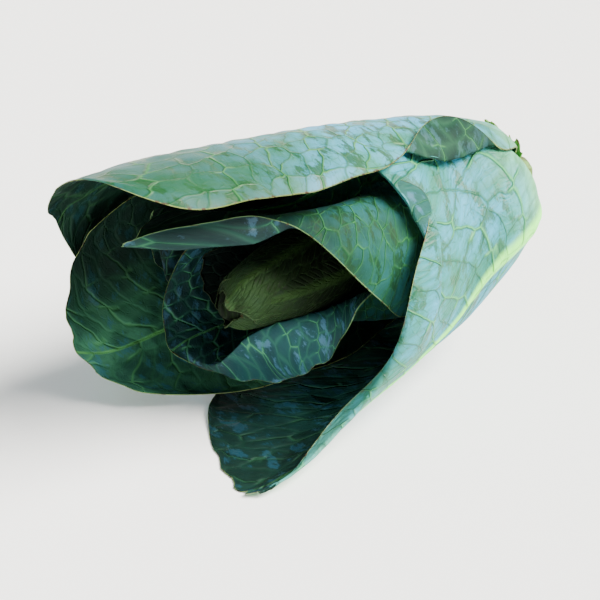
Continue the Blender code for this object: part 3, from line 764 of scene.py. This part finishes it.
# the right leaf's inner face turns up to the sky: its teal tint and bluish patches are painted sky light and
# reflection, its dark foot and tip painted shade; with stronger bulges
sky_tinted_inside = leaf_skin("inner_leaf_painted_sky_tint", dict(
    ground="#285F5E", cloud="#163E38", wear_and_glint="#346680", foot="#051E1A", shade_and_tone="#05130F", vein="#2E6A50",
    side="#44845A", midrib="#58A05A", rim="#829A5C", dried="#3A2C1C"), TEAL)
# where the hood and the cradle roll over: a cold blue cast on dark green, painted as a reflection of the sky
sky_glint_inside = leaf_skin("inner_leaf_painted_sky_glint", dict(
    ground="#12363A", cloud="#0C2A30", wear_and_glint="#345A72", foot="#102C28", shade_and_tone="#061412", vein="#265E4A",
    side="#40845A", midrib="#4C9454", rim="#56744A", dried="#3A2C1C"), BLUISH)
# the small leaf behind the heart gets hardly any light: almost black green
deep_inside = leaf_skin("leaf_deep_in_shade", dict(
    ground="#0C201E", cloud="#0A1A1A", wear_and_glint="#14282C", foot="#08140E", shade_and_tone="#040C0A", vein="#16382C",
    side="#1E4430", midrib="#265034", rim="#3E4C30", dried="#241C12"), INNER | dict(cell=9.0))
print(len(bpy.data.materials), "skins")

# %% [markdown]
# ## The leaves, from the heart outwards
# Each leaf gets one skin on its inner face and another on its outer face. The finer leaf takes the
# place of the plain CAD one and rides on the same body.

# %% Make the leaves
for leaf_name, inner_skin, outer_skin in (
        ("inner_leaf", deep_inside, deep_inside), ("cradle_leaf", sky_glint_inside, shade_darkened_bloom),
        ("hood_leaf", sky_glint_inside, shade_darkened_bloom), ("left_leaf", inside, bloomed),
        ("right_leaf", sky_tinted_inside, pale_bloomed), ("top_leaf", inside, bloomed)):
    make_leaf(leaf_name + "_fine", leaf_name, *leaf_surface(leaf_name), [inner_skin, outer_skin])

# %% [markdown]
# ## The heart
# The heart is a tight bud: a spindle of young leaves whose outermost ones overlap like shingles and end
# in a blunt, ragged tip. The spindle is a tube of rings along a bent spine, and each wrapping leaf is
# the same tube's skin lifted a little, more at one margin than at the other, so that every leaf tucks
# under the next one.

# %% Shapes round the heart's spine
WRAP_FROM = 70  # mm, station where the wrapping leaves begin
HEART = np.array([  # station, radius, sideways, height, in mm
    (39, 3, -1, 83), (46, 22, 0, 81), (60, 28, 3, 76), (85, 29, 5, 72), (120, 27, 5, 71),
    (155, 22, 3, 71.5), (180, 17.5, -1, 73), (200, 13.5, -5, 75), (213, 9.5, -8, 76), (220, 3, -10, 76.5),
])


def round_heart(station, angle, lift, least=0.0):
    """Points round the heart's spine: its radius at that station, at least the given one, plus a lift."""
    read = smooth_weights(HEART[:, 0], station.ravel()) @ HEART[:, 1:]
    radius, side, height = read.T.reshape(3, *station.shape)
    radius = np.maximum(radius, least) + lift
    made = np.stack([CUT_X - station, side - radius * np.sin(angle), height + radius * np.cos(angle)], -1)
    return made + SHIFT


def close_tube(points):
    """Points and faces of a tube of rings, each end closed by a fan of four-sided faces round a point."""
    rings, sides = points.shape[:2]
    flat = points.reshape(-1, 3)
    start, end = len(flat), len(flat) + 1
    flat = np.concatenate([flat, points[0].mean(0)[None], points[-1].mean(0)[None]])
    a = np.arange(0, sides, 2)
    first = np.stack([np.full(len(a), start), a, (a + 1) % sides, (a + 2) % sides], -1)
    last = np.stack([np.full(len(a), end), (a + 2) % sides, (a + 1) % sides, a], -1)
    last = np.where(np.arange(4) == 0, last, last + (rings - 1) * sides)
    return flat, np.concatenate([ring_faces(rings, sides), first, last])


def heart_leaf(name, turn, width, tip, belly, seed, skins):
    """A wrapping leaf: stations run from WRAP_FROM to the tip, shorter towards the margins and torn there
    by a wander, angles run over its width in radians, and the lift grows from one margin to the other,
    with a belly in mm near the tip."""
    u, v = shares(96, 66)
    reach = np.abs(2 * v - 1)
    torn = 1.5 * wander(v * 16, 0 * u, seed, 3) + 2.5 * np.sin(3 * np.pi * v + seed)
    station = WRAP_FROM + (tip - WRAP_FROM) * u - 8 * reach**3 * u**4 + torn * u**10
    angle = turn + width * (v - 0.5)
    across = 20 * width * (v - 0.5)
    foot = station - WRAP_FROM
    number, _, slim = vein_fields(across, foot, reach, 9.0, 0.9, seed)
    ridge = 0.35 * np.exp(-((number - np.round(number)) / 0.16) ** 2) + np.exp(-(across / 2.5) ** 2)
    crumple = 0.5 * wander(across / 7, station / 9, seed + 5, 2) * u
    lift = 0.7 + 1.3 * v + crumple + belly * np.sin(np.pi * u**2.5) * (1 - reach**2)
    inner = round_heart(station, angle, lift - 0.3, 6.5)
    outer = round_heart(station, angle, lift + 0.3 + ridge * (1.1 - u), 6.5)
    inset = np.minimum((1 - reach) * 10 * width, (1 - u) * (tip - WRAP_FROM))
    fields = dict(number=number, slim=slim, inset=inset, rib=across / 3, foot=foot, shade_and_tone=0 * u)
    make_leaf(name, "heart", inner, outer, fields, across, station, True, skins)


# %% The spindle
# young leaves without wax: dull olive, painted dark for the shade between the others and near black towards
# the foot, with a fine net and browned rims
bud = leaf_skin("olive_heart_leaf", dict(
    ground="#223524", cloud="#263C20", wear_and_glint="#101A0A", foot="#040803", shade_and_tone="#141C0C", vein="#1C3016",
    side="#223A1C", midrib="#223818", rim="#2E3E26", dried="#2E2414"), INNER | dict(
        shine=0.06, cell=5.0, net_width=2.4, foot_tone_and_shade=0.97, foot_from=95.0, foot_to=165.0,
        rim_width=1.0, dry_width=2.5, net_from=30.0))
station = np.linspace(HEART[0, 0], HEART[-1, 0], 90)[:, None] + np.zeros((1, 90))
angle = np.radians(np.linspace(0, 360, 90, endpoint=False))[None, :] + 0 * station
fold = 1.2 * np.sin(2 * angle + station / 40) + 0.6 * np.sin(5 * angle - station / 25)
blunt = 8.2 * np.sqrt(ramp_up(-station, -219.5, 5))
fold = fold * ramp_up(-station, -220, 30)  # the young leaves' folds fade at the tip
points, faces = close_tube(round_heart(station, angle, fold - 0.6, blunt))
flat = np.full(len(points), 5.0)
spindle = make_object("heart_spindle", points, faces, [bud], np.zeros(len(faces)), dict(
    number=points[:, 0] / 9, slim=0 * flat, inset=flat, rib=flat, foot=0 * flat + 60, shade_and_tone=0 * flat),
    np.stack([points[:, 1], points[:, 0]], -1))
dress(spindle, "heart")

# %% The wrapping leaves
for count, (turn, width, tip, belly) in enumerate((  # both in radians, last station in mm, mm
        (0.4, 2.9, 218.5, 4.5), (2.6, 2.7, 219, 1.0), (4.7, 2.9, 215, 1.0), (1.3, 1.9, 208, 5.0))):
    heart_leaf(f"heart_leaf_{count + 1}", turn, width, tip, belly, 71 + count, [bud, bud])

# %% [markdown]
# ## The stalk
# The stalk was cut across, so its end is a flat pale green disc, dried brown towards its edge, and its
# side shows long fibres. It is a tube of rings: a few close ones round the cut edge make the rounding.
# A bevelled cylinder would be as round, but could not widen towards the leaves as a stem does.

# %% Shape of the stalk
RINGS = np.array([  # station and radius in mm, from the cut face inwards
    (2.6, 2.5), (2.6, 5.5), (2.8, 7.0), (3.0, 8.2), (3.4, 9.2), (4.2, 9.8), (6, 10.3), (8, 10.6), (10, 10.9),
    (12, 11.4), (15, 11.7), (18, 12), (22, 12.4), (26, 13), (30, 13.5), (34, 14)])
angle = np.linspace(0, 360, 96, endpoint=False)[None, :] + np.zeros((len(RINGS), 1))
station, radius = RINGS[:, :1] + 0 * angle, RINGS[:, 1:]
turned = np.radians(angle)
fibre = 1 + 0.02 * wander(8 * np.sin(turned), 8 * np.cos(turned), 91, 3) * (station > 2.9)
points, faces = close_tube(place(np.stack([station, angle, radius * fibre], -1)))
fields = dict(out=np.r_[(radius + 0 * angle).ravel(), 0, 14], back=np.r_[station.ravel(), 2.6, 34])

# %% Skin of the stalk
# a stem cut with a knife some days ago: green and fibrous, dull, its cut edge dried brown
material, tree = bare_material("cut_fibrous_stalk")
where = put(tree, "ShaderNodeTexCoord").node.outputs["Object"]
out = put(tree, "ShaderNodeAttribute", attribute_name="out").node.outputs["Fac"]
back = put(tree, "ShaderNodeAttribute", attribute_name="back").node.outputs["Fac"]
# fibres: noise of about 1 mm drawn out 12 times along the stalk, and blotches of some 4 mm
along_fibre = put(tree, "ShaderNodeMapping", {"Vector": where, "Scale": (80, 1000, 1000)})
fibres = put(tree, "ShaderNodeTexNoise", {"Vector": along_fibre, "Scale": 1.0, "Detail": 4.0})
blotch = put(tree, "ShaderNodeTexNoise", {"Vector": where, "Scale": 260.0, "Detail": 4.0})
brown = put(tree, "ShaderNodeMapRange", {0: out, 1: 4.0, 2: 9.0, 3: 0.1, 4: 1.0})
face = put(tree, "ShaderNodeMapRange", {0: back, 1: 5.0, 2: 11.0, 3: 1.0, 4: 0.0})
brown = put(tree, "ShaderNodeMath", {0: brown, 1: face}, operation="MULTIPLY")
blotch = put(tree, "ShaderNodeMapRange", {0: blotch, 1: 0.40, 2: 0.60})
brown = put(tree, "ShaderNodeMath", {0: brown, 1: blotch}, operation="MULTIPLY")
colour = linear("#4E7A22")
for mask, code in ((fibres, "#6A9438"), (brown, "#42301E")):
    colour = put(tree, "ShaderNodeMix", {0: mask, 6: colour, 7: linear(code)},
                 data_type="RGBA").node.outputs[2]
bump = put(tree, "ShaderNodeBump", {"Height": fibres, "Strength": 0.8, "Distance": 0.4 * MM})
shader = put(tree, "ShaderNodeBsdfPrincipled", {
    "Base Color": colour, "Roughness": 0.6, "Normal": bump, "IOR": 1.45})
put(tree, "ShaderNodeOutputMaterial", {"Surface": shader})
dress(make_object("stalk_fine", points, faces, [material], np.zeros(len(faces)), fields), "stalk")

# %% [markdown]
# ## What is left of the leaves that were cut off
# When the outermost leaves are broken off at harvest, short torn bases stay on the stalk and lie on
# the head. Each one is a small thick sheet that follows the foot's outline and lifts off it towards
# its torn end. They are pieces of their own, because in the photo they stand clear of the leaves.

# %% Torn leaf bases
BASE_FROM = 12.3  # mm, station where the bases begin
# station and radius in mm, just outside the leaves' feet
FOOT = np.array([(12, 12.5), (14, 15.5), (19, 28), (26, 39.5), (34, 46.5), (42, 52)], float)
# broken off by hand: thick green ends without bloom, with a pale, browned edge
torn_base = leaf_skin("torn_leaf_base", dict(
    ground="#1C5A26", cloud="#2A6A2A", wear_and_glint="#123C14", foot="#5A9040", shade_and_tone="#123C14", vein="#4A8A3A",
    side="#5A9A44", midrib="#7AB050", rim="#8CB85C", dried="#5A4028"),
    SHADED | dict(rim_width=1.0, foot_to=25.0, dry_width=2.0))
# angle round the axis and width in degrees, last station in mm
for count, (turn, width, end) in enumerate(((-9, 18, 23.5), (20, 34, 19), (-62, 34, 25))):
    u, v = shares(50, 40)
    torn = 1.5 * wander(v * 14, 0 * u, 120 + count, 3)
    station = BASE_FROM + (end - BASE_FROM) * u * (1 - 0.35 * np.abs(2 * v - 1) ** 2.5) + torn * u**6
    radius = (smooth_weights(FOOT[:, 0], station.ravel()) @ FOOT[:, 1]).reshape(u.shape) + 3.2 * u**2
    angle = turn + width * (v - 0.5) * (1 - 0.25 * u)
    across, along = radius * np.radians(angle - turn), (station - BASE_FROM) * 2.2
    half = 0.8 - 0.35 * u
    sheets = [place(np.stack([station, angle, radius + way * half], -1)) for way in (-1, 1)]
    inset = np.minimum((0.5 - np.abs(v - 0.5)) * width * 0.5, (1 - u) * (end - BASE_FROM) * 2)
    fields = dict(number=across / 4, slim=1 - u, inset=inset, rib=across / 2, foot=along, shade_and_tone=0 * u)
    make_leaf(f"leaf_base_{count + 1}", "stalk", *sheets, fields, across, along, True, [torn_base, torn_base])

# %% [markdown]
# ## Table, light and camera
# The head lies on plain white paper under soft light from the right, 47 degrees up, which throws a soft
# shadow to the left. The camera stands 0.54 m away, 30 degrees up and 40 degrees round from straight
# ahead, with a 60 mm lens, as the perspective of the photograph asks.
# The paper rises in a wide curve all round, so no edge or horizon shows from any side.

# %% Table
ring = np.linspace(3, 7, 17)[:, None]  # m; the paper is flat for 3 m and then rises in a wide curve
turn = np.linspace(0, 2 * np.pi, 96, endpoint=False)[None, :]
rise = 0.15 * (ring - 3) ** 2 + 0 * turn
points = np.stack([ring * np.cos(turn), ring * np.sin(turn), rise], -1)
walls = ring_faces(*points.shape[:2])[:, ::-1]
floor_mesh = bpy.data.meshes.new("table")
floor_mesh.from_pydata(points.reshape(-1, 3).tolist(), [], [tuple(range(turn.size))] + walls.tolist())
table = bpy.data.objects.new("table", floor_mesh)
bpy.context.scene.collection.objects.link(table)
paper = bpy.data.materials.new("white_paper_sweep")
paper.use_nodes = True
paper.node_tree.nodes["Principled BSDF"].inputs["Base Color"].default_value = linear("#FBFBFB")
paper.node_tree.nodes["Principled BSDF"].inputs["Roughness"].default_value = 0.9
floor_mesh.materials.append(paper)

# %% Light
sun = bpy.data.lights.new("window_sun", "SUN")  # its disc, 40 degrees wide, gives the soft shadow edge
sun.energy, sun.angle, sun.color = 14.8, np.radians(40), linear("#FFFCF4")[:3]
sky = bpy.data.lights.new("sky", "AREA")  # a faint bluish light from above that lifts the shadows
sky.energy, sky.size, sky.color = 5, 1.2, linear("#DCEEFF")[:3]  # W, m
for lamp, spot, target in ((sun, (0.50, -0.50, 0.75), (0, 0, 0)), (sky, (-0.5, 0.1, 1.4), (0, 0, 0.06))):
    thing = bpy.data.objects.new(lamp.name, lamp)
    thing.location = spot
    thing.rotation_euler = (Vector(spot) - Vector(target)).to_track_quat("Z", "Y").to_euler()
    bpy.context.scene.collection.objects.link(thing)
world = bpy.data.worlds.new("studio")
world.use_nodes = True
world.node_tree.nodes["Background"].inputs["Color"].default_value = linear("#EAF2FF")
world.node_tree.nodes["Background"].inputs["Strength"].default_value = 0.10
bpy.context.scene.world = world

# %% Camera
AZIMUTH, ELEVATION, DISTANCE = np.radians(-40), np.radians(30), 0.540
aim = Vector((-0.0231, -0.0074, 0.057))  # m, the point in the middle of the picture
level = np.cos(ELEVATION)
back = Vector((np.sin(AZIMUTH) * level, -np.cos(AZIMUTH) * level, np.sin(ELEVATION)))
eye = bpy.data.cameras.new("eye")
eye.lens, eye.sensor_width, eye.clip_start = 60, 36, 0.01
camera = bpy.data.objects.new("eye", eye)
camera.location = aim + DISTANCE * back
camera.rotation_euler = (-back).to_track_quat("-Z", "Y").to_euler()
bpy.context.scene.collection.objects.link(camera)
bpy.context.scene.camera = camera
print("camera at", [round(v, 3) for v in camera.location])
